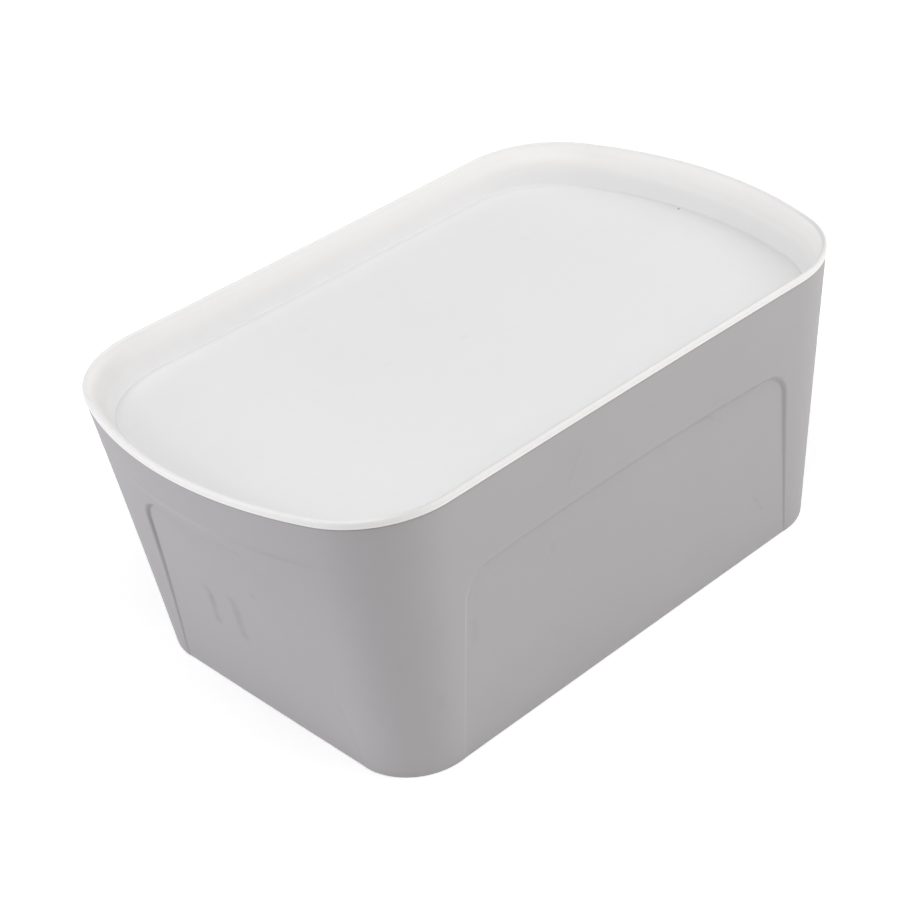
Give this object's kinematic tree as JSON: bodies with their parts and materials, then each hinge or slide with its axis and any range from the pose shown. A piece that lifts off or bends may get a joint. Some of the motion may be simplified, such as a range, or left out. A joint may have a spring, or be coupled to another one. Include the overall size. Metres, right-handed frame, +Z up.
{
  "type": "cable management box",
  "caption": "Tapered moulded box with bowed ends, recessed wall panels, a rear cable notch and a lift-off tray lid that nests in its mouth.",
  "frame": {"origin": "on the table, under the centre of the box", "axes": "+X along the length, +Y towards the wall with the cable notch, +Z up"},
  "size_m": [0.3, 0.1902, 0.1286],
  "materials": {
    "tub_plastic": "satin",
    "lid_plastic": "satin"
  },
  "bodies": {
    "tub": {"tub": "tub_plastic"},
    "lid": {"lid": "lid_plastic"}
  },
  "joints": [
    {"name": "lid_lift", "type": "slide", "parent": "tub", "child": "lid", "axis": [0, 0, 1], "range_m": [0, 0.12]}
  ]
}
